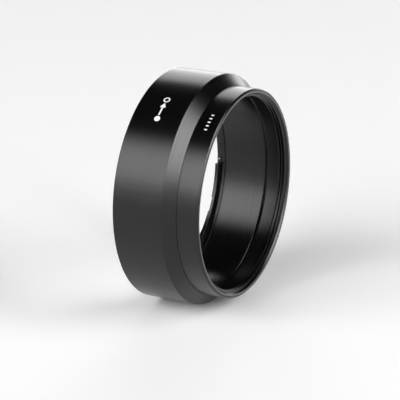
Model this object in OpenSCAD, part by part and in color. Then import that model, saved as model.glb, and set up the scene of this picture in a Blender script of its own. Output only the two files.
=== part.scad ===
// Adapter-tube lens hood for a compact camera.
// A bayonet at the rear locks on the lens ring, a filter thread takes filters at the front.
// The optical axis runs along +X, towards the subject, and +Z is up.
// The origin is on the optical axis, in the plane of the bayonet's seating face.

/* [Rear barrel] */
// Outer diameter of the rear barrel
barrel_d = 57.6; // [56.8:0.1:62]
// Length of the barrel from its rear rim to the foot of the cone
barrel_len = 13.1; // [9:0.1:30]
// Length of the cone that leads down to the filter ring
cone_len = 2.5; // [1.6:0.1:6]
// Least wall, measured across the axis, between the cone and the sleeve's seat
cone_wall = 1.3; // [0.8:0.1:1.6]
// Depth of the register behind the seating face, which drops over the lens ring
register_depth = 0.75; // [0.4:0.05:2]
// Wall of the skirt round the register
skirt_wall = 0.85; // [0.6:0.05:1.1]
// Turned relief between the two lands that carry the sleeve
relief_depth = 0.6; // [0.2:0.1:1]
// Length of the land in front
land_len = 2.6; // [2:0.1:3.2]
// Edge break on the barrel's rear rim
barrel_edge = 0.3; // [0.1:0.05:0.6]
// How far the front end of the cone stands proud of the filter ring
cone_proud = 0.2; // [0.05:0.05:0.35]

/* [Filter ring] */
// Outer diameter of the filter ring
ring_d = 52; // [51.7:0.1:53]
// Length of the filter ring in front of the cone
ring_len = 5.7; // [4:0.1:14]
// Nominal diameter of the filter thread
filter_d = 49; // [48:0.1:49.2]
// Length of the filter thread
thread_len = 2; // [1.5:0.1:3]
// Depth of the runout groove behind the thread
runout_depth = 0.3; // [0.1:0.05:0.4]
// Edge break on the outside of the front rim
rim_edge = 0.1; // [0.05:0.05:0.4]
// Edge break at the mouth of the filter thread
mouth_edge = 0.25; // [0.1:0.05:0.35]
// Diameter of the spigot that screws into the barrel
spigot_d = 50.8; // [50.5:0.1:51]
// Wall of the spigot at its rear end, where its bore flares out
spigot_wall = 0.3; // [0.2:0.05:0.4]
// Length of the spigot
spigot_len = 0.85; // [0.7:0.05:1.5]

/* [Inner sleeve] */
// Bore of the sleeve, which is also the bore of the bayonet ring
sleeve_bore_d = 50.4; // [50.2:0.1:50.6]
// Wall of the sleeve
sleeve_wall = 0.5; // [0.4:0.05:0.7]

/* [Bayonet ring] */
// Length of the bayonet ring along the axis
bayonet_len = 2.15; // [1.9:0.05:3]
// Number of bayonet lugs
lug_count = 3; // [2:1:4]
// Diameter inside the lugs
lug_inner_d = 46; // [44:0.1:48.5]
// Thickness of each lug
lug_thick = 0.85; // [0.6:0.05:1.1]
// Distance from the seating face to the back of the lugs
lug_setback = 0.6; // [0.3:0.05:0.7]
// Angle that each lug spans
lug_span = 54; // [30:1:60]
// Angle of the first lug's middle, from +Y towards +Z
lug_turn = -30; // [-60:1:60]
// Angle that the lock notch in the back of each lug spans
notch_span = 9; // [5:1:14]
// Depth of the lock notch
notch_depth = 0.22; // [0.1:0.02:0.4]

/* [Screws and stop pin] */
// Diameter of the bayonet screws
screw_d = 1.4; // [1:0.1:1.6]
// Diameter of their countersunk heads
screw_head_d = 2.3; // [2.2:0.1:2.4]
// Length of the bayonet screws
screw_len = 4.4; // [3.4:0.1:4.8]
// Metal left in the barrel beyond the ends of the screw holes
hole_floor = 1.05; // [0.6:0.05:1.4]
// Diameter of the stop pin
pin_d = 0.9; // [0.6:0.1:1.2]
// How far the stop pin stands into the bore
pin_proud = 1; // [0.5:0.1:1.6]
// Gap between the stop pin and the end of its lug
pin_gap = 0.6; // [0.3:0.1:1.5]

/* [Fits] */
// Radial clearance between pieces that slide together
fit_gap = 0.05; // [0.02:0.01:0.08]

/* [Hidden] */
$fn = 128;

// Radii
barrel_r = barrel_d / 2;
ring_r = ring_d / 2;
foot_r = ring_r + cone_proud;
filter_r = filter_d / 2;
runout_r = filter_r + runout_depth;
mouth_r = filter_r + mouth_edge;
spigot_r = spigot_d / 2;
sleeve_r = sleeve_bore_d / 2;
sleeve_out_r = sleeve_r + sleeve_wall;
land_r = sleeve_out_r + fit_gap;
relief_r = land_r + relief_depth;
lug_inner_r = lug_inner_d / 2;
bayonet_out_r = barrel_r - skirt_wall - fit_gap;
screw_circle_r = (sleeve_r + bayonet_out_r) / 2;

// Places along the axis, counted from the seating face
rear_x = -register_depth;
cone_x = rear_x + barrel_len;
cone_foot_x = cone_x + cone_len;
front_x = cone_foot_x + ring_len;
spigot_x = cone_foot_x - spigot_len;
thread_back_x = front_x - mouth_edge - thread_len;

// Small edges that every turned piece has
fine_edge = 0.1;
flare_len = spigot_len - fine_edge / 2;
// The spigot's rear end always reaches in over the end of the sleeve
flare_r = min(spigot_r - spigot_wall, sleeve_r - fine_edge);
cut = 0.5;

// The sleeve's seat ends at the spigot, or sooner where the cone leaves too little wall outside it
cone_slope = (barrel_r - fine_edge - foot_r) / (cone_len - fine_edge);
seat_r = land_r + cone_wall;
wall_x = foot_r < seat_r ? cone_foot_x - (seat_r - foot_r) / cone_slope : spigot_x;
seat_x = min(spigot_x, wall_x);

// Screw seats: straight land of the head, and how far the head lies below the face
screw_land = 0.15;
screw_sink = 0.05;
// Room left beyond the tip of a screw in its hole
hole_spare = 0.3;
hole_depth = screw_len + hole_spare;
// Clearance round the pressed stop pin
pin_press_gap = 0.01;

// Angles between the bayonet screws' places, half way between the lugs
lug_step = 360 / lug_count;
screw_turn = lug_turn + lug_step / 2;
// The stop pin stands just past the upper end of the first lug
pin_turn = lug_turn + lug_span / 2 + (pin_gap + pin_d / 2) / sleeve_r * 180 / PI;
pin_x = lug_setback + lug_thick / 2;

// A shape turned about the optical axis: its profile is given as [radius, place along the axis]
module turned(profile, angle = 360) {
    rotate([90, 0, 90])
        rotate_extrude(angle = angle)
            polygon(profile);
}

// Turns a child about the optical axis, from +Y towards +Z
module at_angle(a) {
    rotate([a, 0, 0])
        children();
}

// Rear barrel with its cone, open from end to end
module rear_barrel() {
    rear_land_x = hole_depth + hole_floor;
    front_land_x = seat_x - land_len;
    color("#1c1c1d")
    difference() {
        turned([
            [barrel_r - skirt_wall + fine_edge, rear_x],
            [barrel_r - barrel_edge, rear_x],
            [barrel_r, rear_x + barrel_edge],
            [barrel_r, cone_x - fine_edge],
            [barrel_r - fine_edge, cone_x + fine_edge],
            [foot_r, cone_foot_x],
            [spigot_r + fit_gap, cone_foot_x],
            [spigot_r + fit_gap, spigot_x],
            [land_r, seat_x],
            [land_r, front_land_x],
            [relief_r, front_land_x - relief_depth],
            [relief_r, rear_land_x + relief_depth],
            [land_r, rear_land_x],
            [land_r, bayonet_len],
            [barrel_r - skirt_wall, bayonet_len],
            [barrel_r - skirt_wall, rear_x + fine_edge]
        ]);
        for (i = [0 : lug_count - 1])
            at_angle(screw_turn + i * lug_step)
                screw_hole(screw_d / 2 + fit_gap / 2, hole_depth);
    }
}

// A blind hole on the screw circle, from the seating face forward
module screw_hole(r, depth) {
    translate([0, screw_circle_r, 0])
        rotate([0, 90, 0])
            cylinder(r = r, h = depth, $fn = 32);
}

// Front ring with the bore for the filter thread and the spigot behind it
module filter_ring() {
    color("#1c1c1d")
    turned([
        [flare_r, spigot_x],
        [spigot_r - fine_edge, spigot_x],
        [spigot_r, spigot_x + fine_edge],
        [spigot_r, cone_foot_x],
        [ring_r - fine_edge, cone_foot_x],
        [ring_r, cone_foot_x + fine_edge],
        [ring_r, front_x - rim_edge],
        [ring_r - rim_edge, front_x],
        [mouth_r, front_x],
        [filter_r, front_x - mouth_edge],
        [filter_r, thread_back_x],
        [runout_r, thread_back_x - runout_depth],
        [runout_r, spigot_x + flare_len]
    ]);
}

// Thin matt sleeve, held between the bayonet ring and the barrel's front shoulder
module inner_sleeve() {
    color("#161617")
    turned([
        [sleeve_r + fine_edge, bayonet_len],
        [sleeve_out_r, bayonet_len],
        [sleeve_out_r, seat_x],
        [sleeve_r, seat_x],
        [sleeve_r, bayonet_len + fine_edge]
    ]);
}

// Bayonet ring: the seating face at the back, and inward lugs
module bayonet_ring() {
    color("#202021")
    difference() {
        union() {
            turned([
                [sleeve_r, 0],
                [bayonet_out_r - fine_edge, 0],
                [bayonet_out_r, fine_edge],
                [bayonet_out_r, bayonet_len],
                [sleeve_r + fine_edge, bayonet_len],
                [sleeve_r, bayonet_len - fine_edge]
            ]);
            for (i = [0 : lug_count - 1])
                at_angle(lug_turn - lug_span / 2 + i * lug_step)
                    lug();
        }
        for (i = [0 : lug_count - 1]) {
            at_angle(screw_turn + i * lug_step)
                countersunk_hole();
            at_angle(lug_turn - notch_span / 2 + i * lug_step)
                lock_notch();
        }
        at_angle(pin_turn)
            pin_hole();
    }
}

// One lug, from its lower end round by lug_span
module lug() {
    edge = 2 * fine_edge;
    turned([
        [lug_inner_r + fine_edge, lug_setback],
        [sleeve_r + cut, lug_setback],
        [sleeve_r + cut, lug_setback + lug_thick],
        [lug_inner_r + edge, lug_setback + lug_thick],
        [lug_inner_r, lug_setback + lug_thick - edge],
        [lug_inner_r, lug_setback + fine_edge]
    ], angle = lug_span);
}

// Shallow notch in the back of a lug, where the camera's lock pin drops in
module lock_notch() {
    turned([
        [lug_inner_r - cut, lug_setback - cut],
        [sleeve_r - fine_edge, lug_setback - cut],
        [sleeve_r - fine_edge, lug_setback + notch_depth],
        [lug_inner_r - cut, lug_setback + notch_depth]
    ], angle = notch_span);
}

// Clearance hole through the bayonet ring, with a seat for the screw's head
module countersunk_hole() {
    hole_r = screw_d / 2 + fit_gap;
    head_r = screw_head_d / 2 + fit_gap;
    translate([0, screw_circle_r, 0])
        rotate([0, 90, 0]) {
            translate([0, 0, -cut])
                cylinder(r = hole_r, h = bayonet_len + 2 * cut, $fn = 32);
            translate([0, 0, -cut])
                cylinder(r = head_r, h = cut + screw_land, $fn = 32);
            translate([0, 0, screw_land])
                cylinder(r1 = head_r, r2 = hole_r, h = head_r - hole_r, $fn = 32);
        }
}

// Hole that the stop pin is pressed into, through the wall of the bayonet ring
module pin_hole() {
    translate([pin_x, sleeve_r - cut, 0])
        rotate([-90, 0, 0])
            cylinder(r = pin_d / 2 + pin_press_gap, h = bayonet_out_r - sleeve_r + 2 * cut, $fn = 32);
}

// Stop pin with a rounded tip, pressed into the bayonet ring from outside
module stop_pin() {
    tip = pin_d / 2;
    inner_r = sleeve_r - pin_proud;
    outer_r = bayonet_out_r - fine_edge;
    color("#8d8d8f")
    at_angle(pin_turn)
        translate([pin_x, inner_r, 0])
            rotate([-90, 0, 0])
                rotate_extrude($fn = 32)
                    intersection() {
                        union() {
                            translate([0, tip])
                                circle(r = tip, $fn = 48);
                            translate([0, tip])
                                square([tip, outer_r - inner_r - tip]);
                        }
                        square([tip, outer_r - inner_r]);
                    }
}

// The countersunk screws that hold the bayonet ring, heads just below the seating face
module bayonet_screws() {
    color("#303032")
    for (i = [0 : lug_count - 1])
        at_angle(screw_turn + i * lug_step)
            translate([screw_sink, screw_circle_r, 0])
                countersunk_screw();
}

// One screw, its head at the back and its shank pointing forward, with a cross recess
module countersunk_screw() {
    head_r = screw_head_d / 2;
    shank_r = screw_d / 2;
    slot_w = screw_d * 0.22;
    slot_l = screw_d * 0.9;
    slot_h = screw_d * 0.4;
    land = screw_land - screw_sink;
    rotate([0, 90, 0])
        difference() {
            rotate_extrude($fn = 32)
                polygon([
                    [0, 0],
                    [head_r, 0],
                    [head_r, land],
                    [shank_r, land + head_r - shank_r],
                    [shank_r, screw_len - shank_r / 2],
                    [shank_r / 2, screw_len],
                    [0, screw_len]
                ]);
            for (turn = [0, 90])
                rotate([0, 0, turn])
                    translate([-slot_l / 2, -slot_w / 2, -cut])
                        cube([slot_l, slot_w, slot_h + cut]);
        }
}

rear_barrel();
filter_ring();
inner_sleeve();
bayonet_ring();
stop_pin();
bayonet_screws();
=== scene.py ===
"""A bayonet lens hood in black anodised aluminium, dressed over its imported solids.

The optical axis runs along +X, towards the subject, and angles about it count from +Y towards +Z.
Objects are in metres. Profiles are in millimetres, as a lathe drawing is, and MM takes them to metres.
"""

import math

import bmesh
import bpy
from bpy.props import FloatProperty, FloatVectorProperty, IntProperty, PointerProperty
from mathutils import Matrix, Vector


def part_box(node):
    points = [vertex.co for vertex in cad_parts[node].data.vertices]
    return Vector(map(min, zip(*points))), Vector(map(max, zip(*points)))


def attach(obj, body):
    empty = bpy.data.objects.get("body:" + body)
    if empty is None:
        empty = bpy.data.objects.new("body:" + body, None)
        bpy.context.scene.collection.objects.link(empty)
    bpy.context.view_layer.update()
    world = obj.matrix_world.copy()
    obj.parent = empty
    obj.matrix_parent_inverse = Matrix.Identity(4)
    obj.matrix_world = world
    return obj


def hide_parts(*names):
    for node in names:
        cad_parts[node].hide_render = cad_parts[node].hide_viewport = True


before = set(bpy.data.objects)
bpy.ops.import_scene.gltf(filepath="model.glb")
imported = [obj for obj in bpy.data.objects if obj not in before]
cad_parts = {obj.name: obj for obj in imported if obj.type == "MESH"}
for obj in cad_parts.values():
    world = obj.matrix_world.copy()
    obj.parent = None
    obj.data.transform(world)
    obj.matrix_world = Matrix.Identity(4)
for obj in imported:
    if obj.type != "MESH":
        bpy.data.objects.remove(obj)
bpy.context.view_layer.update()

bl_info = {
    "name": "Bayonet lens hood",
    "version": (1, 0, 0),
    "blender": (4, 5, 0),
    "location": "3D View > Sidebar > Lens hood",
    "description": "Builds a black anodised lens hood with a bayonet and a filter thread, and its studio",
    "category": "Object",
}

MM = 0.001
BODY = "root"
# Takes a shape made about Z on to the optical axis: Z becomes X, X becomes Y, and Y becomes Z
ON_AXIS = (math.pi / 2, 0, math.pi / 2)
# In millimetres: play between two pieces, the spigot's step down from the ring, the straight rim round a
# screw's head, and how far a cutter reaches past its work
PLAY = 0.05
SPIGOT_STEP = 0.6
HEAD_RIM = 0.1
PAST = 0.5
# Steps in one turn of a drilled hole, and of a screw or the pin
HOLE_STEPS = 32
SCREW_STEPS = 48


# Small helpers


def srgb(code):
    """Linear colour of an sRGB hex value such as #202122."""
    parts = [int(code[i : i + 2], 16) / 255 for i in (1, 3, 5)]
    linear = [c / 12.92 if c <= 0.04045 else ((c + 0.055) / 1.055) ** 2.4 for c in parts]
    return (*linear, 1.0)


def add(tree, kind, inputs=None, **settings):
    """Adds a node with its settings. An input takes a plain value, or a socket to link from."""
    node = tree.nodes.new(kind)
    for name, value in settings.items():
        setattr(node, name, value)
    for name, value in (inputs or {}).items():
        if isinstance(value, bpy.types.NodeSocket):
            tree.links.new(value, node.inputs[name])
        else:
            node.inputs[name].default_value = value
    return node


def new_material(name):
    """An empty node material, with its tree and its output node."""
    material = bpy.data.materials.new(name)
    material.use_nodes = True
    tree = material.node_tree
    tree.nodes.clear()
    return material, tree, add(tree, "ShaderNodeOutputMaterial")


def new_tree(name, inputs):
    """A geometry tree with named inputs, given as (name, socket type, default), and their sockets."""
    tree = bpy.data.node_groups.new(name, "GeometryNodeTree")
    tree.is_modifier = True
    tree.interface.new_socket(name="Geometry", in_out="INPUT", socket_type="NodeSocketGeometry")
    for label, kind, default in inputs:
        socket = tree.interface.new_socket(name=label, in_out="INPUT", socket_type=kind)
        if default is not None:
            socket.default_value = default
    tree.interface.new_socket(name="Geometry", in_out="OUTPUT", socket_type="NodeSocketGeometry")
    return tree, add(tree, "NodeGroupInput").outputs


def close_tree(tree, geometry, material):
    """Ends a tree in Realize Instances, smooth shading and Set Material."""
    real = add(tree, "GeometryNodeRealizeInstances", {"Geometry": geometry})
    smooth = add(tree, "GeometryNodeSetShadeSmooth", {"Geometry": real.outputs["Geometry"]})
    painted = add(
        tree, "GeometryNodeSetMaterial", {"Geometry": smooth.outputs["Geometry"], "Material": material}
    )
    add(tree, "NodeGroupOutput", {"Geometry": painted.outputs["Geometry"]})
    return tree


def in_scene(name, data):
    """A new object, linked to the scene."""
    obj = bpy.data.objects.new(name, data)
    bpy.context.scene.collection.objects.link(obj)
    return obj


def evaluated(obj):
    """The plain mesh that an object's modifiers make."""
    bpy.context.view_layer.update()
    return bpy.data.meshes.new_from_object(obj.evaluated_get(bpy.context.evaluated_depsgraph_get()))


def mesh_of(bm, name):
    """Ends a bmesh and returns its mesh."""
    mesh = bpy.data.meshes.new(name)
    bm.to_mesh(mesh)
    bm.free()
    return mesh


def grown(mesh, tree, inputs):
    """Runs a geometry tree on a mesh and returns the plain mesh that it makes."""
    holder = in_scene("holder", mesh)
    modifier = holder.modifiers.new("Nodes", "NODES")
    modifier.node_group = tree
    for item in tree.interface.items_tree:
        if item.in_out == "INPUT" and item.name in inputs:
            modifier[item.identifier] = inputs[item.name]
    result = evaluated(holder)
    holder.modifiers.clear()
    bpy.data.objects.remove(holder)
    return result


def tidied(mesh, crease=None):
    """Merges doubles, turns the faces outwards and shades smooth. Edges past crease degrees are sharp."""
    bm = bmesh.new()
    bm.from_mesh(mesh)
    bmesh.ops.remove_doubles(bm, verts=bm.verts, dist=1e-7)
    bmesh.ops.recalc_face_normals(bm, faces=bm.faces)
    for face in bm.faces:
        face.smooth = True
    bm.to_mesh(mesh)
    bm.free()
    if crease:
        mesh.set_sharp_from_angle(angle=math.radians(crease))
    return mesh


def carved(mesh, cutter, operation="DIFFERENCE"):
    """The mesh with another one cut from it or joined to it."""
    work, tool = in_scene("work", mesh), in_scene("tool", cutter)
    modifier = work.modifiers.new("Cut", "BOOLEAN")
    modifier.operation = operation
    modifier.object = tool
    modifier.solver = "EXACT"
    result = evaluated(work)
    for obj in (work, tool):
        bpy.data.objects.remove(obj)
    return result


def piece(name, mesh, material, slot, *stands_for):
    """Makes a finished mesh a piece of the hood, in place of the solids named, if any."""
    mesh.name = name
    mesh.materials.clear()
    mesh.materials.append(material)
    for face in mesh.polygons:
        face.material_index = 0
    obj = in_scene(name, mesh)
    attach(obj, BODY)
    if stands_for:
        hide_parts(*stands_for)


# Profiles and turning


def eased(corners, closed=True, steps=4):
    """Rounds a profile's corners, given as (radius, place, edge) in millimetres.

    A rounding takes at most most_edge of the shorter face beside it. Guard points next to it, at most
    most_guard of that face away, keep the long faces flat in their shading.
    """
    most_edge, most_guard = 0.45, 0.04
    count = len(corners)
    out = []
    for i, (r, x, edge) in enumerate(corners):
        here = Vector((r, x))
        if edge <= 0 or (not closed and i in (0, count - 1)):
            out.append(here)
            continue
        before = Vector(corners[i - 1][:2]) - here
        after = Vector(corners[(i + 1) % count][:2]) - here
        half = before.angle(after) / 2
        shorter = min(before.length, after.length)
        reach = min(edge, shorter * most_edge)
        guard = min(reach / 2, shorter * most_guard)
        before.normalize()
        after.normalize()
        a, b = here + before * reach, here + after * reach
        bow = reach * math.tan(half)
        centre = here + (before + after).normalized() * (reach / math.cos(half))
        start = math.atan2(a.y - centre.y, a.x - centre.x)
        sweep = (math.atan2(b.y - centre.y, b.x - centre.x) - start + math.pi) % math.tau - math.pi
        angles = [start + sweep * k / steps for k in range(steps + 1)]
        out.append(a + before * guard)
        out += [centre + Vector((math.cos(t), math.sin(t))) * bow for t in angles]
        out.append(b + after * guard)
    return out


def turning_tree():
    """Turns a profile about the optical axis, as a lathe does."""
    tree, given = new_tree(
        "Turning",
        [
            ("Steps", "NodeSocketInt", 256),
            ("Centre line", "NodeSocketFloat", 0.001),
            ("Material", "NodeSocketMaterial", None),
        ],
    )
    section = add(tree, "GeometryNodeMeshToCurve", {"Mesh": given["Geometry"]})
    circle = add(
        tree,
        "GeometryNodeCurvePrimitiveCircle",
        {"Resolution": given["Steps"], "Radius": given["Centre line"]},
    )
    swept = add(
        tree,
        "GeometryNodeCurveToMesh",
        {"Curve": circle.outputs["Curve"], "Profile Curve": section.outputs["Curve"]},
    )
    placed = add(tree, "GeometryNodeTransform", {"Geometry": swept.outputs["Mesh"], "Rotation": ON_AXIS})
    return close_tree(tree, placed.outputs["Geometry"], given["Material"])


def outline(spots, closed=True):
    """A mesh of plain edges from spot to spot."""
    links = [(i, i + 1) for i in range(len(spots) - 1)]
    if closed:
        links.append((len(spots) - 1, 0))
    mesh = bpy.data.meshes.new("outline")
    mesh.from_pydata(spots, links, [])
    return mesh


def turned(corners, steps, material, closed=True, crease=None):
    """A turned piece from its profile's corners in millimetres, with its axis along X."""
    # The profile is swept along a small circle, and its radii count from there
    centre_line = 1.0
    spots = [((p.x - centre_line) * MM, -p.y * MM, 0) for p in eased(corners, closed)]
    shape = grown(
        outline(spots, closed),
        bpy.data.node_groups["Turning"],
        {"Steps": steps, "Centre line": centre_line * MM, "Material": material},
    )
    return tidied(shape, crease)


def rod(radius, start, end, material):
    """A plain rod along the axis, with sizes in millimetres, to drill a hole with."""
    corners = [(0, start, 0), (radius, start, 0), (radius, end, 0), (0, end, 0)]
    return turned(corners, HOLE_STEPS, material, closed=False)


def copies_tree():
    """Repeats a shape about the optical axis."""
    tree, given = new_tree(
        "Copies about the axis",
        [
            ("Count", "NodeSocketInt", 3),
            ("First angle", "NodeSocketFloat", 0.0),
            ("Step angle", "NodeSocketFloat", math.tau / 3),
            ("Material", "NodeSocketMaterial", None),
        ],
    )
    row = add(tree, "GeometryNodeMeshLine", {"Count": given["Count"], "Offset": (0, 0, 0)})
    index = add(tree, "GeometryNodeInputIndex")
    turn = add(
        tree,
        "ShaderNodeMath",
        {0: index.outputs["Index"], 1: given["Step angle"], 2: given["First angle"]},
        operation="MULTIPLY_ADD",
    )
    about = add(tree, "ShaderNodeCombineXYZ", {"X": turn.outputs["Value"]})
    set_out = add(
        tree,
        "GeometryNodeInstanceOnPoints",
        {
            "Points": row.outputs["Mesh"],
            "Instance": given["Geometry"],
            "Rotation": about.outputs["Vector"],
        },
    )
    return close_tree(tree, set_out.outputs["Instances"], given["Material"])


def repeated(mesh, count, first, step, material):
    """Copies of a mesh about the optical axis. Angles are in degrees."""
    return grown(
        mesh,
        bpy.data.node_groups["Copies about the axis"],
        {
            "Count": count,
            "First angle": math.radians(first),
            "Step angle": math.radians(step),
            "Material": material,
        },
    )


def at_screws(mesh, bayonet, material, place=0.0, crease=None):
    """Moves a shape from the axis to the place of each screw, between the lugs."""
    mesh.transform(Matrix.Translation((place, bayonet.screw_circle, 0)))
    step = 360 / bayonet.lug_count
    first = math.degrees(bayonet.lug_middle) + step / 2
    return tidied(repeated(mesh, bayonet.lug_count, first, step, material), crease)


def thread_tree():
    """Runs a thread's ridge along a helix, and lets it fade at both ends."""
    tree, given = new_tree(
        "Filter thread",
        [
            ("Radius", "NodeSocketFloat", 0.0245),
            ("Pitch", "NodeSocketFloat", 0.00075),
            ("Turns", "NodeSocketFloat", 2.4),
            ("Start", "NodeSocketFloat", 0.0185),
            ("Start angle", "NodeSocketFloat", 0.0),
            ("Fade", "NodeSocketFloat", 0.05),
            ("Steps", "NodeSocketInt", 256),
            ("Material", "NodeSocketMaterial", None),
        ],
    )
    height = add(tree, "ShaderNodeMath", {0: given["Pitch"], 1: given["Turns"]}, operation="MULTIPLY")
    helix = add(
        tree,
        "GeometryNodeCurveSpiral",
        {
            "Resolution": given["Steps"],
            "Rotations": given["Turns"],
            "Start Radius": given["Radius"],
            "End Radius": given["Radius"],
            "Height": height.outputs["Value"],
            "Reverse": True,
        },
    )
    upright = add(tree, "GeometryNodeSetCurveNormal", {"Curve": helix.outputs["Curve"]}, mode="Z_UP")
    along = add(tree, "GeometryNodeSplineParameter")
    left = add(tree, "ShaderNodeMath", {0: 1.0, 1: along.outputs["Factor"]}, operation="SUBTRACT")
    rise, fall = (
        add(
            tree,
            "ShaderNodeMapRange",
            {"Value": way, "From Min": 0.0, "From Max": given["Fade"]},
            interpolation_type="SMOOTHSTEP",
        ).outputs["Result"]
        for way in (along.outputs["Factor"], left.outputs["Value"])
    )
    size = add(tree, "ShaderNodeMath", {0: rise, 1: fall}, operation="MULTIPLY")
    section = add(tree, "GeometryNodeMeshToCurve", {"Mesh": given["Geometry"]})
    ridge = add(
        tree,
        "GeometryNodeCurveToMesh",
        {
            "Curve": upright.outputs["Curve"],
            "Profile Curve": section.outputs["Curve"],
            "Scale": size.outputs["Value"],
            "Fill Caps": True,
        },
    )
    turn = add(tree, "ShaderNodeCombineXYZ", {"Z": given["Start angle"]})
    begun = add(
        tree,
        "GeometryNodeTransform",
        {"Geometry": ridge.outputs["Mesh"], "Rotation": turn.outputs["Vector"]},
    )
    forward = add(tree, "ShaderNodeCombineXYZ", {"X": given["Start"]})
    placed = add(
        tree,
        "GeometryNodeTransform",
        {
            "Geometry": begun.outputs["Geometry"],
            "Translation": forward.outputs["Vector"],
            "Rotation": ON_AXIS,
        },
    )
    return close_tree(tree, placed.outputs["Geometry"], given["Material"])


# Finishes


# Clear oxide over the metal, and how far the gloss strays either way along the tool marks
OXIDE_IOR = 1.45
GLOSS_PLAY = 0.025
# Anodising takes a little unevenly, over patches of about 6 mm
PATCHES_PER_MM = 0.17
# Tool marks hold their shade over about this length round the axis
MARK_RUN_MM = 25


def lathe_place(tree, where, line_mm):
    """Coordinates that change by one each line_mm along the axis and outwards, and slowly round it."""
    parts = add(tree, "ShaderNodeSeparateXYZ", {"Vector": where})
    x, y, z = (parts.outputs[axis] for axis in "XYZ")
    flat = add(tree, "ShaderNodeCombineXYZ", {"Y": y, "Z": z})
    radius = add(tree, "ShaderNodeVectorMath", {0: flat.outputs["Vector"]}, operation="LENGTH")
    fine, slow = 1 / (line_mm * MM), 1 / (MARK_RUN_MM * MM)
    ways = ((x, fine), (radius.outputs["Value"], fine), (y, slow), (z, slow))
    along, outward, drift, other_drift = (
        add(tree, "ShaderNodeMath", {0: way, 1: rate}, operation="MULTIPLY").outputs["Value"]
        for way, rate in ways
    )
    spot = add(tree, "ShaderNodeCombineXYZ", {"X": along, "Y": outward, "Z": drift})
    return spot.outputs["Vector"], other_drift


def painted_lip_highlight(tree, shade, spot, line_mm, place, radius, width):
    """Paints a lighter grey along a lip as a highlight, with sizes in millimetres. The spot is in lathe
    coordinates.
    """
    level = add(tree, "ShaderNodeVectorMath", {0: spot, 1: (1, 1, 0)}, operation="MULTIPLY")
    off = add(
        tree,
        "ShaderNodeVectorMath",
        {0: level.outputs["Vector"], 1: (place / line_mm, radius / line_mm, 0)},
        operation="DISTANCE",
    )
    highlight_share = add(
        tree,
        "ShaderNodeMapRange",
        {
            "Value": off.outputs["Value"],
            "From Min": 0.4 * width / line_mm,
            "From Max": width / line_mm,
            "To Min": 1.0,
            "To Max": 0.0,
        },
        interpolation_type="SMOOTHSTEP",
    )
    # The lighter grey is a highlight, painted along the lip
    mixed = {0: highlight_share.outputs["Result"], 6: shade, 7: srgb("#5c5c5e")}
    return add(tree, "ShaderNodeMix", mixed, data_type="RGBA").outputs[2]


def turned_metal(name, colour, patch, roughness, line_mm, depth_mm, metallic=0.0, lip=None):
    """A turned surface: fine rings about the axis, slightly uneven, over a soft mottle.

    Each ring is a tool mark line_mm wide, on walls, cones and flat faces alike. A lip, given as its place
    along the axis, its radius and its width in millimetres, gets a painted highlight: a lighter grey ring.
    """
    material, tree, output = new_material(name)
    where = add(tree, "ShaderNodeTexCoord").outputs["Object"]
    spot, drift = lathe_place(tree, where, line_mm)
    # One light and one dark mark make a pattern two lines wide
    streaks = add(
        tree,
        "ShaderNodeTexNoise",
        {"Vector": spot, "W": drift, "Scale": 1 / 2, "Detail": 2.0, "Roughness": 0.5},
        noise_dimensions="4D",
    )
    mottle = add(
        tree, "ShaderNodeTexNoise", {"Vector": where, "Scale": PATCHES_PER_MM / MM, "Detail": 3.0}
    )
    mixed = {0: mottle.outputs["Fac"], 6: srgb(colour), 7: srgb(patch)}
    shade = add(tree, "ShaderNodeMix", mixed, data_type="RGBA").outputs[2]
    # The lip gets a painted highlight: a lighter grey ring
    if lip:
        shade = painted_lip_highlight(tree, shade, spot, line_mm, *lip)
    gloss = add(
        tree,
        "ShaderNodeMapRange",
        {
            "Value": streaks.outputs["Fac"],
            "From Min": 0.3,
            "From Max": 0.7,
            "To Min": roughness - GLOSS_PLAY,
            "To Max": roughness + GLOSS_PLAY,
        },
    )
    lines = add(
        tree,
        "ShaderNodeBump",
        {"Height": streaks.outputs["Fac"], "Strength": 1.0, "Distance": depth_mm * MM},
    )
    round_axis = add(tree, "ShaderNodeTangent", direction_type="RADIAL", axis="X")
    # A quarter turn lays the sheen's long way across the tool marks
    shader = add(
        tree,
        "ShaderNodeBsdfPrincipled",
        {
            "Base Color": shade,
            "Roughness": gloss.outputs["Result"],
            "Normal": lines.outputs["Normal"],
            "Metallic": metallic,
            "Anisotropic": 0.4,
            "Anisotropic Rotation": 1 / 4,
            "Tangent": round_axis.outputs["Tangent"],
        },
    )
    if not metallic:
        shader.inputs["IOR"].default_value = OXIDE_IOR
    tree.links.new(shader.outputs["BSDF"], output.inputs["Surface"])
    return material


def satin_anodised(name="satin_black_anodised_aluminium", lip=None):
    """Fine-turned aluminium, bead blasted and black anodised: near black, with a broad soft sheen."""
    return turned_metal(name, "#070708", "#0b0b0c", 0.24, line_mm=0.12, depth_mm=0.0004, lip=lip)


def anodised_with_lip_highlight():
    """The filter ring's anodising: as the barrel's, with a painted highlight, a lighter grey ring, along
    its lip.
    """
    place, radius, width = RING_HIGH.x / MM, 25.18, 0.24
    return satin_anodised("satin_black_anodised_aluminium_lip_highlight", (place, radius, width))


def matt_anodised():
    """Black anodised aluminium with a coarser turned surface inside: it takes more of the sheen away."""
    name = "matt_black_anodised_aluminium"
    return turned_metal(name, "#060607", "#0a0a0b", 0.25, line_mm=0.16, depth_mm=0.0005)


def black_oxide():
    """Black-oxide screw steel: a dark metal with a dull, slightly oily gloss."""
    name = "black_oxide_steel"
    return turned_metal(name, "#2b2b2d", "#343436", 0.42, line_mm=0.08, depth_mm=0.0003, metallic=1.0)


def rubbed_steel():
    """Blackened steel pin, rubbed grey: a dull metal with fine grinding rings."""
    name = "rubbed_steel"
    return turned_metal(name, "#8a8a8d", "#979799", 0.3, line_mm=0.05, depth_mm=0.0002, metallic=1.0)


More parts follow.
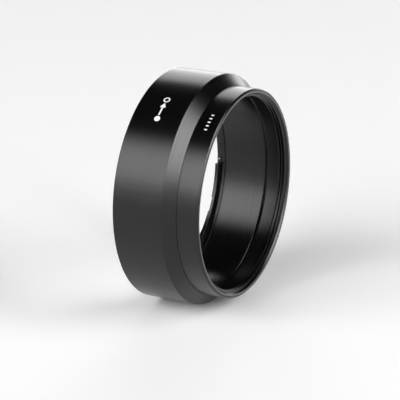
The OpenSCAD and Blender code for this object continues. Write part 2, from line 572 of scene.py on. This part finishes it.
def paint_fill():
    """White paint rubbed into a shallow engraving: flat white with a fine grain."""
    grains_per_mm = 9
    material, tree, output = new_material("white_paint_fill")
    where = add(tree, "ShaderNodeTexCoord").outputs["Object"]
    grain = add(tree, "ShaderNodeTexNoise", {"Vector": where, "Scale": grains_per_mm / MM, "Detail": 2.0})
    mixed = {0: grain.outputs["Fac"], 6: srgb("#e9e9e6"), 7: srgb("#f6f6f4")}
    shade = add(tree, "ShaderNodeMix", mixed, data_type="RGBA").outputs[2]
    rough = add(
        tree,
        "ShaderNodeBump",
        {"Height": grain.outputs["Fac"], "Strength": 0.5, "Distance": 0.01 * MM},
    )
    shader = add(
        tree,
        "ShaderNodeBsdfPrincipled",
        {"Base Color": shade, "Roughness": 0.55, "Normal": rough.outputs["Normal"]},
    )
    tree.links.new(shader.outputs["BSDF"], output.inputs["Surface"])
    return material


FINISHES = (satin_anodised, anodised_with_lip_highlight, matt_anodised, black_oxide, rubbed_steel, paint_fill)


# Sizes that a user would change. Solids give the main ones.

BARREL_LOW, BARREL_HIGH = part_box("rear_barrel")
RING_LOW, RING_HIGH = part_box("filter_ring")
SLEEVE_LOW, SLEEVE_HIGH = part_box("inner_sleeve")
_, BAYONET_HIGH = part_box("bayonet_ring")


def length(name, text, default, low=0.0):
    """A length in metres, shown in the scene's unit."""
    return FloatProperty(
        name=name,
        description=text,
        default=default,
        min=low,
        precision=5,
        unit="LENGTH",
        subtype="DISTANCE",
    )


def arc(name, text, degrees):
    """An angle, given in degrees and kept in radians."""
    return FloatProperty(
        name=name, description=text, default=math.radians(degrees), unit="ROTATION", subtype="ANGLE"
    )


class HoodTube(bpy.types.PropertyGroup):
    """Sizes of the barrel, the filter ring and the sleeve."""

    barrel_radius: length("Barrel radius", "Outside of the rear barrel", BARREL_HIGH.z)
    barrel_back: length("Back of the barrel", "Place of the rear rim", BARREL_LOW.x, low=-0.1)
    cone_start: length("Start of the cone", "Place where the cone begins", 12.35 * MM)
    cone_foot: length("Foot of the cone", "Place where the cone meets the filter ring", BARREL_HIGH.x)
    foot_step: length("Cone step", "How far the cone's front end stands proud of the ring", 0.1 * MM)
    skirt_wall: length("Skirt wall", "Wall round the register at the back", 0.85 * MM)
    land_radius: length("Land radius", "Bore that carries the sleeve", 25.75 * MM)
    relief: length("Relief", "Depth of the turned relief between the lands", 0.6 * MM)
    ring_radius: length("Ring radius", "Outside of the filter ring", RING_HIGH.z)
    ring_front: length("Front of the ring", "Place of the front rim", RING_HIGH.x)
    rim_edge: length("Rim edge", "Bevel round the outside of the front rim", 0.3 * MM)
    ring_back: length("Back of the ring", "Place of the spigot's rear end", RING_LOW.x)
    thread_radius: length("Thread radius", "Nominal radius of the filter thread", 24.5 * MM)
    thread_depth: length("Thread depth", "Height of the thread's ridge", 0.45 * MM)
    pitch: length("Pitch", "Pitch of the filter thread", 0.75 * MM)
    sleeve_wall: length("Sleeve wall", "Wall of the sleeve", 0.5 * MM)
    steps: IntProperty(
        name="Steps round", description="Steps in one turn of a turned piece", default=256, min=48, max=512
    )


class HoodBayonet(bpy.types.PropertyGroup):
    """Sizes of the bayonet ring, its lugs, screws and pin."""

    ring_length: length("Ring length", "Length of the bayonet ring along the axis", BAYONET_HIGH.x)
    bore_radius: length("Bore radius", "Bore of the bayonet ring", 24.9 * MM)
    lug_radius: length("Lug radius", "Radius inside the lugs", 23.0 * MM)
    lug_back: length("Back of the lugs", "Distance from the seating face to the lugs", 0.3 * MM)
    lug_thickness: length("Lug thickness", "Thickness of each lug", 0.95 * MM)
    lug_count: IntProperty(name="Lugs", description="Number of lugs", default=3, min=2, max=4)
    lug_span: arc("Lug span", "Angle that each lug spans", 54)
    lug_middle: arc("First lug", "Angle of the first lug's middle", -30)
    notch_span: arc("Notch span", "Angle that the lock notch spans", 9)
    notch_depth: length("Notch depth", "Depth of the lock notch", 0.22 * MM)
    screw_circle: length("Screw circle", "Radius on which the screws stand", 26.55 * MM)
    screw_head: length("Screw head", "Radius of a screw's head", 1.15 * MM)
    screw_shank: length("Screw shank", "Radius of a screw's shank", 0.7 * MM)
    screw_length: length("Screw length", "Length of a screw", 4.4 * MM)
    pin_radius: length("Pin radius", "Radius of the stop pin", 0.45 * MM)
    pin_reach: length("Pin reach", "How far the stop pin stands into the bore", 1.0 * MM)
    pin_gap: length("Pin gap", "Gap between the pin and the end of its lug", 0.6 * MM)


class HoodStudio(bpy.types.PropertyGroup):
    """The camera's place and the card's colour."""

    turn: arc("Turn", "How far the view turns from square to the side of the hood", 27.323)
    tilt: arc("Tilt", "How far the view looks down", 18.235)
    distance: length("Distance", "From the camera to the middle of the rear rim", 452.023 * MM)
    aim: FloatVectorProperty(
        name="Aim",
        description="How far the view's middle lies to the right of and above the middle of the rear rim",
        size=2,
        default=(7.526 * MM, -4.52 * MM),
        unit="LENGTH",
    )
    lens: FloatProperty(
        name="Lens", description="Focal length", default=162.5, min=20, max=400, unit="CAMERA"
    )
    floor_colour: FloatVectorProperty(
        name="Floor colour",
        description="Colour of the card under the hood",
        size=4,
        default=srgb("#f2f2f2"),
        min=0,
        max=1,
        subtype="COLOR",
    )


# The hood's pieces


class HOOD_OT_trees(bpy.types.Operator):
    """Makes the geometry trees that turn, repeat and thread the pieces"""

    bl_idname = "lens_hood.trees"
    bl_label = "Geometry trees"

    def execute(self, context):
        turning_tree()
        copies_tree()
        thread_tree()
        return {"FINISHED"}


class HOOD_OT_finishes(bpy.types.Operator):
    """Makes the finishes of the hood's pieces"""

    bl_idname = "lens_hood.finishes"
    bl_label = "Finishes"

    def execute(self, context):
        for make in FINISHES:
            make()
        return {"FINISHED"}


class HOOD_OT_barrel(bpy.types.Operator):
    """Builds the rear barrel with its cone, register and screw holes"""

    bl_idname = "lens_hood.barrel"
    bl_label = "Rear barrel"

    def execute(self, context):
        tube, bayonet = context.scene.hood_tube, context.scene.hood_bayonet
        finish = bpy.data.materials["satin_black_anodised_aluminium"]
        r, back = tube.barrel_radius / MM, tube.barrel_back / MM
        cone, foot = tube.cone_start / MM, tube.cone_foot / MM
        foot_r = (tube.ring_radius + tube.foot_step) / MM
        skirt_r = r - tube.skirt_wall / MM
        land, relief = tube.land_radius / MM, tube.relief / MM
        spigot = tube.ring_back / MM
        seat = bayonet.ring_length / MM
        seam_r = tube.ring_radius / MM - SPIGOT_STEP + PLAY
        # The sleeve sits on two lands, with the relief between them
        relief_back, relief_front = 5.75, spigot - 2.6
        body = turned(
            [
                (skirt_r, back, 0.1),
                (r, back, 0.14),
                (r, cone, 0.03),
                (foot_r, foot, 0.03),
                (seam_r, foot, 0.04),
                (seam_r, spigot, 0),
                (land, spigot, 0.05),
                (land, relief_front, 0),
                (land + relief, relief_front - relief, 0),
                (land + relief, relief_back + relief, 0),
                (land, relief_back, 0),
                (land, seat, 0.08),
                (skirt_r, seat, 0.05),
            ],
            tube.steps,
            finish,
        )
        # Each screw ends in a blind tapped hole
        tap_r, tap_end = 0.72, 4.7
        holes = at_screws(rod(tap_r, seat - PAST, tap_end, finish), bayonet, finish)
        body = tidied(carved(body, holes), crease=40)
        piece("barrel", body, finish, "anodised_black", "rear_barrel")
        return {"FINISHED"}


class HOOD_OT_filter_ring(bpy.types.Operator):
    """Builds the front ring and the helical ridge of its filter thread"""

    bl_idname = "lens_hood.filter_ring"
    bl_label = "Filter ring"

    def execute(self, context):
        tube = context.scene.hood_tube
        # This finish has a highlight painted along the ring's lip
        finish = bpy.data.materials["satin_black_anodised_aluminium_lip_highlight"]
        r, front = tube.ring_radius / MM, tube.ring_front / MM
        spigot, foot = tube.ring_back / MM, tube.cone_foot / MM
        # The spigot has a narrow end face, and its bore flares towards it
        spigot_r, end_face, flare = r - SPIGOT_STEP, 0.25, 0.8
        # From the rim inwards: chamfer, undercut, the thread's wall, and a run-out that tapers backwards
        thread_r = tube.thread_radius / MM
        mouth_r, chamfer = thread_r + 0.55, 0.4
        undercut_r, undercut = thread_r + 0.35, front - 0.52
        thread_front, thread_back = front - 0.72, front - 2.5
        runout, taper = 0.3, 0.14
        edge = tube.rim_edge / MM
        body = turned(
            [
                (spigot_r - end_face, spigot, 0.04),
                (spigot_r, spigot, 0.08),
                (spigot_r, foot, 0),
                (r, foot, 0.05),
                (r, front - edge, 0.05),
                (r - edge, front, 0.08),
                (mouth_r, front, 0.12),
                (mouth_r - chamfer, front - chamfer, 0.02),
                (undercut_r, undercut, 0.02),
                (thread_r, thread_front, 0.02),
                (thread_r, thread_back, 0.03),
                (thread_r + runout, thread_back - runout, 0.08),
                (thread_r + runout - taper, spigot + flare, 0.04),
            ],
            tube.steps,
            finish,
        )
        piece("filter_ring_body", body, finish, "anodised_black", "filter_ring")

        # The ridge's section, with its root sunk in the wall and a narrow crest
        depth, half = tube.thread_depth / MM, tube.pitch / MM / 2
        sunk, root, crest = 0.03, half * 0.9, half * 0.15
        corners = [(-sunk, root, 0), (depth, crest, 0.02), (depth, -crest, 0.02), (-sunk, -root, 0)]
        section = outline([(-p.x * MM, p.y * MM, 0) for p in eased(corners, steps=2)])
        # The ridge begins and ends in a short fade, and ends just behind the rim
        turns, first, fade = 2.4, -62.0, 0.06
        end = tube.ring_front - 0.63 * MM
        ridge = grown(
            section,
            bpy.data.node_groups["Filter thread"],
            {
                "Radius": tube.thread_radius,
                "Pitch": tube.pitch,
                "Turns": turns,
                "Start": end - turns * tube.pitch,
                "Start angle": math.radians(first),
                "Fade": fade,
                "Steps": tube.steps,
                "Material": finish,
            },
        )
        piece("filter_thread", tidied(ridge, crease=50), finish, "anodised_black")
        return {"FINISHED"}


class HOOD_OT_sleeve(bpy.types.Operator):
    """Builds the thin sleeve that lines the barrel"""

    bl_idname = "lens_hood.sleeve"
    bl_label = "Inner sleeve"

    def execute(self, context):
        tube = context.scene.hood_tube
        finish = bpy.data.materials["matt_black_anodised_aluminium"]
        outside = SLEEVE_HIGH.z / MM
        inside = outside - tube.sleeve_wall / MM
        back, front = SLEEVE_LOW.x / MM, SLEEVE_HIGH.x / MM
        chamfer = 0.35
        shape = turned(
            [
                (inside, back, 0.08),
                (outside, back, 0.04),
                (outside, front, 0.04),
                (inside + chamfer, front, 0.03),
                (inside, front - chamfer, 0.03),
            ],
            tube.steps,
            finish,
        )
        piece("sleeve", shape, finish, "matt_black", "inner_sleeve")
        return {"FINISHED"}


def lug_mesh(bayonet, root):
    """One lug about the axis, with rounded ends, a front-inner bevel and the lock notch in its back."""
    inner, back = bayonet.lug_radius / MM, bayonet.lug_back / MM
    front = back + bayonet.lug_thickness / MM
    half, notch = math.degrees(bayonet.lug_span) / 2, math.degrees(bayonet.notch_span) / 2
    # Edges in millimetres: round the lug's ends, in front, behind, and the ramp at each side of the notch
    end_edge, front_edge, back_edge, ramp = 0.12, 0.12, 0.05, 0.1
    ease, slope = math.degrees(end_edge / inner), math.degrees(ramp / inner)
    # Places of the sections, from an end of the lug to its middle, and the same on the other side
    steps = 36
    spots = [half - ease * share for share in (0, 0.3, 1)]
    spots += [(half - ease) * (1 - k / steps) for k in range(1, steps)]
    spots += [notch + slope, notch + slope / 2, notch]
    spots = sorted({*spots, *(-spot for spot in spots)})
    bm = bmesh.new()
    rings = []
    for angle in spots:
        inset = end_edge * max(0.0, 1 - (half - abs(angle)) / ease) ** 2
        drop = bayonet.notch_depth / MM * min(1.0, max(0.0, (notch + slope - abs(angle)) / slope))
        section = eased(
            [
                (root, back + drop + inset, 0),
                (root, front - inset, 0),
                (inner + inset, front - inset, front_edge),
                (inner + inset, back + drop + inset, back_edge),
            ]
        )
        a = math.radians(angle)
        rings.append(
            [bm.verts.new((p.y * MM, p.x * MM * math.cos(a), p.x * MM * math.sin(a))) for p in section]
        )
    for one, two in zip(rings, rings[1:]):
        for k in range(len(one)):
            bm.faces.new((one[k - 1], one[k], two[k], two[k - 1]))
    bm.faces.new(rings[0])
    bm.faces.new(rings[-1])
    return tidied(mesh_of(bm, "lug"))


class HOOD_OT_bayonet(bpy.types.Operator):
    """Builds the bayonet ring with its lugs, countersunk holes and pin hole"""

    bl_idname = "lens_hood.bayonet"
    bl_label = "Bayonet ring"

    def execute(self, context):
        tube, bayonet = context.scene.hood_tube, context.scene.hood_bayonet
        finish = bpy.data.materials["satin_black_anodised_aluminium"]
        outside = (tube.barrel_radius - tube.skirt_wall) / MM - PLAY
        bore, long = bayonet.bore_radius / MM, bayonet.ring_length / MM
        # The bore flares a little in front of the lugs, and their roots are sunk in the ring
        flare, root = 0.1, 0.4
        body = turned(
            [
                (bore, 0, 0.08),
                (outside, 0, 0.1),
                (outside, long, 0.05),
                (bore + flare, long, 0.04),
                (bore, (bayonet.lug_back + bayonet.lug_thickness) / MM, 0.03),
            ],
            tube.steps,
            finish,
        )
        first, step = math.degrees(bayonet.lug_middle), 360 / bayonet.lug_count
        lug = lug_mesh(bayonet, bore + root)
        body = carved(body, tidied(repeated(lug, bayonet.lug_count, first, step, finish)), "UNION")
        # Countersunk holes, a little wider than the screws
        head, shank = bayonet.screw_head / MM + PLAY, bayonet.screw_shank / MM + PLAY
        sink = turned(
            [
                (0, -PAST, 0),
                (head + PLAY + PAST, -PAST, 0),
                (head, PLAY, 0),
                (head, PLAY + HEAD_RIM, 0),
                (shank, PLAY + HEAD_RIM + head - shank, 0),
                (shank, long + PAST, 0),
                (0, long + PAST, 0),
            ],
            SCREW_STEPS,
            finish,
            closed=False,
        )
        body = carved(body, at_screws(sink, bayonet, finish))
        # The pin is pressed in: its hole is a hair wider, so that the two walls don't meet
        hole_r = bayonet.pin_radius / MM + 0.01
        pin_hole = rod(hole_r, bore - PAST, outside + PAST, finish)
        pin_hole.transform(pin_place(bayonet))
        body = carved(body, pin_hole)
        piece("bayonet", tidied(body, crease=35), finish, "anodised_black", "bayonet_ring")
        return {"FINISHED"}


def pin_place(bayonet):
    """Takes a shape made along X to the stop pin's place, pointing out from the axis."""
    angle = bayonet.lug_middle + bayonet.lug_span / 2
    angle += (bayonet.pin_gap + bayonet.pin_radius) / bayonet.bore_radius
    middle = bayonet.lug_back + bayonet.lug_thickness / 2
    outward = Matrix.Rotation(angle, 4, "X") @ Matrix.Translation((middle, 0, 0))
    return outward @ Matrix.Rotation(math.pi / 2, 4, "Z")


class HOOD_OT_pin(bpy.types.Operator):
    """Builds the stop pin with its rounded tip"""

    bl_idname = "lens_hood.pin"
    bl_label = "Stop pin"

    def execute(self, context):
        tube, bayonet = context.scene.hood_tube, context.scene.hood_bayonet
        finish = bpy.data.materials["rubbed_steel"]
        r = bayonet.pin_radius / MM
        inner = (bayonet.bore_radius - bayonet.pin_reach) / MM
        # Its outer end stops short of the ring's outside
        outer = (tube.barrel_radius - tube.skirt_wall) / MM - 0.15
        angles = [math.radians(a) for a in range(0, 91, 9)]
        tip = [(r * math.sin(a), inner + r - r * math.cos(a), 0) for a in angles]
        corners = [*tip, (r, outer, 0.05), (0, outer, 0)]
        shape = turned(corners, SCREW_STEPS, finish, closed=False, crease=40)
        shape.transform(pin_place(bayonet))
        piece("pin", shape, finish, "steel_pin", "stop_pin")
        return {"FINISHED"}


class HOOD_OT_screws(bpy.types.Operator):
    """Builds the countersunk screws that hold the bayonet ring"""

    bl_idname = "lens_hood.screws"
    bl_label = "Bayonet screws"

    def execute(self, context):
        bayonet = context.scene.hood_bayonet
        finish = bpy.data.materials["black_oxide_steel"]
        head, shank = bayonet.screw_head / MM, bayonet.screw_shank / MM
        long = bayonet.screw_length / MM
        shape = turned(
            [
                (0, 0, 0),
                (head, 0, 0.04),
                (head, HEAD_RIM, 0),
                (shank, HEAD_RIM + head - shank, 0.05),
                (shank, long - shank / 2, 0),
                (shank / 2, long, 0),
                (0, long, 0),
            ],
            SCREW_STEPS,
            finish,
            closed=False,
        )
        # The cross recess narrows towards its floor, as a punch leaves it: an arm's place, half length and
        # half width, above the head and at the floor
        recess = ((-0.2, 0.68, 0.17), (0.56, 0.4, 0.12))
        for turn in (0, 90):
            bm = bmesh.new()
            ends = [
                bm.verts.new((x * MM, side * w * MM, flank * h * MM))
                for x, w, h in recess
                for side, flank in ((-1, -1), (1, -1), (1, 1), (-1, 1))
            ]
            for k in range(4):
                bm.faces.new((ends[k], ends[(k + 1) % 4], ends[4 + (k + 1) % 4], ends[4 + k]))
            bm.faces.new(ends[:4])
            bm.faces.new(ends[4:])
            punch = tidied(mesh_of(bm, "punch"))
            punch.transform(Matrix.Rotation(math.radians(turn), 4, "X"))
            shape = carved(shape, punch)
        screws = at_screws(shape, bayonet, finish, place=PLAY * MM, crease=35)
        piece("screws", screws, finish, "black_chrome", "bayonet_screws")
        return {"FINISHED"}


def wrapped_plate(name, rows, radius, angle, place, ring=False):
    """A thin plate wrapped on a cylinder about the axis, from rows of points in millimetres.

    Points count round the cylinder from an angle in degrees, and along the axis from a place in
    millimetres. The rows of a ring close on themselves.
    """
    sunk, proud = -0.03, 0.012
    bm = bmesh.new()

    def spot(around, along, lift):
        turn = math.radians(angle) + around * MM / radius
        r = radius + lift * MM
        return bm.verts.new(((place + along) * MM, r * math.cos(turn), r * math.sin(turn)))

    low, high = ([[spot(s, x, lift) for s, x in row] for row in rows] for lift in (sunk, proud))
    pairs = [*zip(low, low[1:]), *zip(high, high[1:]), (low[0], high[0]), (low[-1], high[-1])]
    for one, two in pairs:
        for k in range(0 if ring else 1, len(one)):
            bm.faces.new((one[k - 1], one[k], two[k], two[k - 1]))
    if not ring:
        for k in (0, -1):
            for i in range(len(rows) - 1):
                bm.faces.new((low[i][k], low[i + 1][k], high[i + 1][k], high[i][k]))
    return tidied(mesh_of(bm, name), crease=40)


def ring_rows(inner, outer, count=48, bands=3):
    """Rows for a flat ring, or for a disc where the inner radius is tiny."""
    turns = [math.tau * k / count for k in range(count)]
    radii = [inner + (outer - inner) * k / bands for k in range(bands + 1)]
    return [[(r * math.cos(t), r * math.sin(t)) for t in turns] for r in radii]


class HOOD_OT_marks(bpy.types.Operator):
    """Builds the white index marks on the barrel and the tick row on the filter ring"""

    bl_idname = "lens_hood.marks"
    bl_label = "Index marks"

    def execute(self, context):
        tube = context.scene.hood_tube
        paint = bpy.data.materials["white_paint_fill"]
        # A dot, an arrow and an open ring: where the hood goes on, and where it locks
        stem = [[(s, -0.2), (s, 0.2)] for s in (1.9, 1.3, 0.7, 0.1, -0.5)]
        head = [[(s, -w), (s, w)] for s, w in ((-0.5, 0.75), (-1.0, 0.5), (-1.5, 0.25), (-1.9, 0.04))]
        index_place = 5.95
        # Name, rows, angle, and whether the rows close
        marks = (
            ("mark_dot", ring_rows(0.02, 0.75), 130.3, True),
            ("mark_ring", ring_rows(0.52, 0.85), 118.4, True),
            ("mark_arrow", stem + head, 124.4, False),
        )
        for name, rows, angle, ring in marks:
            shape = wrapped_plate(name, rows, tube.barrel_radius, angle, index_place, ring)
            piece(name, shape, paint, None)

        half_wide, half_long, tick_place = 0.17, 0.36, 17.65
        rows = [[(s, x) for x in (-half_long, 0.0, half_long)] for s in (-half_wide, 0.0, half_wide)]
        tick = wrapped_plate("tick", rows, tube.ring_radius, 0, tick_place)
        ticks = tidied(repeated(tick, count=5, first=119.0, step=2.5, material=paint), crease=40)
        piece("mark_ticks", ticks, paint, None)
        return {"FINISHED"}


# The studio

# From the hood to each softbox, in metres
SOFTBOX_DISTANCE = 2.5
# What the card gains in brightness for the camera, off gloss and through glass
CARD_LIFT = 0.23
# Glow of the dark room
ROOM_GLOW = 0.004


def softbox(name, azimuth, elevation, roll, wide, high, radiance, core):
    """A plain softbox that faces the hood, wide and high as seen from there. Angles are in degrees.

    It is evenly bright out to core, a share of its half size, and fades from there to its edge.
    """
    a, e, r = (math.radians(angle) for angle in (azimuth, elevation, roll))
    way = Vector((math.cos(e) * math.cos(a), math.cos(e) * math.sin(a), math.sin(e)))
    along = Vector((-math.sin(a), math.cos(a), 0))
    upward = way.cross(along)
    across = along * math.cos(r) + upward * math.sin(r)
    long_way = upward * math.cos(r) - along * math.sin(r)
    data = bpy.data.lights.new(name, "AREA")
    data.shape = "RECTANGLE"
    data.size, data.size_y = (
        2 * SOFTBOX_DISTANCE * math.tan(math.radians(angle) / 2) for angle in (wide, high)
    )
    # An area lamp's radiance is its power over pi times its area
    data.energy = math.pi * data.size * data.size_y * radiance
    data.use_nodes = True
    tree = data.node_tree
    tree.nodes.clear()
    cloth = add(tree, "ShaderNodeNewGeometry")
    off = add(
        tree,
        "ShaderNodeVectorMath",
        {0: cloth.outputs["Parametric"], 1: (0.5, 0.5, 0)},
        operation="DISTANCE",
    )
    fade = add(
        tree,
        "ShaderNodeMapRange",
        {
            "Value": off.outputs["Value"],
            "From Min": core / 2,
            "From Max": 1 / 2,
            "To Min": 1.0,
            "To Max": 0.0,
        },
        interpolation_type="SMOOTHSTEP",
    )
    glow = add(tree, "ShaderNodeEmission", {"Strength": fade.outputs["Result"]})
    add(tree, "ShaderNodeOutputLight", {"Surface": glow.outputs["Emission"]})
    obj = in_scene(name, data)
    obj.matrix_world = Matrix((across, long_way, way)).transposed().to_4x4()
    obj.location = way * SOFTBOX_DISTANCE


def studio_card(colour):
    """Matt white card: white to the eye, off gloss and through glass alike, with a soft shadow kept."""
    material, tree, output = new_material("matt_white_card")
    path = add(tree, "ShaderNodeLightPath")
    seen = path.outputs["Is Camera Ray"]
    for kind in ("Is Glossy Ray", "Is Transmission Ray"):
        either = add(tree, "ShaderNodeMath", {0: seen, 1: path.outputs[kind]}, operation="MAXIMUM")
        seen = either.outputs["Value"]
    lift = add(tree, "ShaderNodeMath", {0: seen, 1: CARD_LIFT, 2: 1.0}, operation="MULTIPLY_ADD")
    shade = add(
        tree, "ShaderNodeVectorMath", {0: colour[:3], "Scale": lift.outputs["Value"]}, operation="SCALE"
    )
    card = add(tree, "ShaderNodeBsdfDiffuse", {"Color": shade.outputs["Vector"]})
    tree.links.new(card.outputs["BSDF"], output.inputs["Surface"])
    return material


def sweep_mesh(low):
    """A wide round floor whose edge curves up into a low wall, with sizes in metres."""
    flat, cove, count, bends = 2.4, 0.5, 96, 12
    bend = [math.pi / 2 * k / bends for k in range(bends + 1)]
    rings = [(flat / 6, 0), (flat / 2, 0)]
    rings += [(flat + cove * math.sin(t), cove * (1 - math.cos(t))) for t in bend]
    turns = [math.tau * k / count for k in range(count)]
    bm = bmesh.new()
    centre = bm.verts.new((0, 0, low))
    loops = [
        [bm.verts.new((r * math.cos(t), r * math.sin(t), low + height)) for t in turns]
        for r, height in rings
    ]
    for k in range(count):
        bm.faces.new((centre, loops[0][k - 1], loops[0][k]))
        for inner, outer in zip(loops, loops[1:]):
            bm.faces.new((inner[k - 1], outer[k - 1], outer[k], inner[k]))
    for face in bm.faces:
        face.smooth = True
    return mesh_of(bm, "studio_floor")


class HOOD_OT_stage(bpy.types.Operator):
    """Builds the pale card that curves up behind the hood, the lamps and the camera"""

    bl_idname = "lens_hood.stage"
    bl_label = "Studio"

    def execute(self, context):
        scene, studio = context.scene, context.scene.hood_studio
        scene.view_settings.view_transform = "Standard"

        floor = in_scene("studio_floor", sweep_mesh(BARREL_LOW.z))
        floor.data.materials.append(studio_card(tuple(studio.floor_colour)))

        world = bpy.data.worlds.new("studio_room")
        scene.world = world
        world.use_nodes = True
        tree = world.node_tree
        tree.nodes.clear()
        # A dark room: black metal shows only the softboxes and the card
        room = add(tree, "ShaderNodeBackground", {"Color": (1, 1, 1, 1), "Strength": ROOM_GLOW})
        add(tree, "ShaderNodeOutputWorld", {"Surface": room.outputs["Background"]})

        # Each softbox has its azimuth, elevation, roll, width, height, radiance and even core
        softbox("left_softbox", 248.7, 29.5, -9.8, 77.8, 61.1, 5.05, 0.26)
        softbox("right_strip", 352.2, 29.0, -46.9, 15.7, 94.0, 15.8, 0.2)
        softbox("back_panel", 107.8, 16.9, -47.5, 41.0, 58.4, 2.4, 0.79)

        turn, tilt = studio.turn, studio.tilt
        right = Vector((math.cos(turn), math.sin(turn), 0))
        level = math.cos(tilt)
        ahead = Vector((-math.sin(turn) * level, math.cos(turn) * level, -math.sin(tilt)))
        up = right.cross(ahead)
        rear = Vector((BARREL_LOW.x, 0, 0))
        data = bpy.data.cameras.new("camera")
        data.lens = studio.lens
        data.sensor_width = 36
        data.clip_start, data.clip_end = 0.01, 20
        camera = in_scene("camera", data)
        camera.matrix_world = Matrix((right, up, -ahead)).transposed().to_4x4()
        camera.location = rear + right * studio.aim[0] + up * studio.aim[1] - ahead * studio.distance
        scene.camera = camera
        return {"FINISHED"}


class HOOD_PT_panel(bpy.types.Panel):
    """Lists the hood's pieces and sizes"""

    bl_idname = "HOOD_PT_panel"
    bl_label = "Lens hood"
    bl_space_type = "VIEW_3D"
    bl_region_type = "UI"
    bl_category = "Lens hood"

    def draw(self, context):
        for maker in MAKERS:
            self.layout.operator(maker.bl_idname)
        for group in GROUPS:
            settings = getattr(context.scene, group)
            for name in settings.bl_rna.properties.keys():
                if name not in ("rna_type", "name"):
                    self.layout.prop(settings, name)


MAKERS = (
    HOOD_OT_trees,
    HOOD_OT_finishes,
    HOOD_OT_barrel,
    HOOD_OT_filter_ring,
    HOOD_OT_sleeve,
    HOOD_OT_bayonet,
    HOOD_OT_pin,
    HOOD_OT_screws,
    HOOD_OT_marks,
    HOOD_OT_stage,
)
GROUPS = {"hood_tube": HoodTube, "hood_bayonet": HoodBayonet, "hood_studio": HoodStudio}


def register():
    for group in GROUPS.values():
        bpy.utils.register_class(group)
    for maker in (*MAKERS, HOOD_PT_panel):
        bpy.utils.register_class(maker)
    for name, group in GROUPS.items():
        setattr(bpy.types.Scene, name, PointerProperty(type=group))


def unregister():
    for name in GROUPS:
        delattr(bpy.types.Scene, name)
    for maker in (HOOD_PT_panel, *reversed(MAKERS)):
        bpy.utils.unregister_class(maker)
    for group in reversed(list(GROUPS.values())):
        bpy.utils.unregister_class(group)


def main():
    """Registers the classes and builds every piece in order."""
    register()
    for maker in MAKERS:
        family, action = maker.bl_idname.split(".")
        getattr(getattr(bpy.ops, family), action)()


if __name__ == "__main__":
    main()
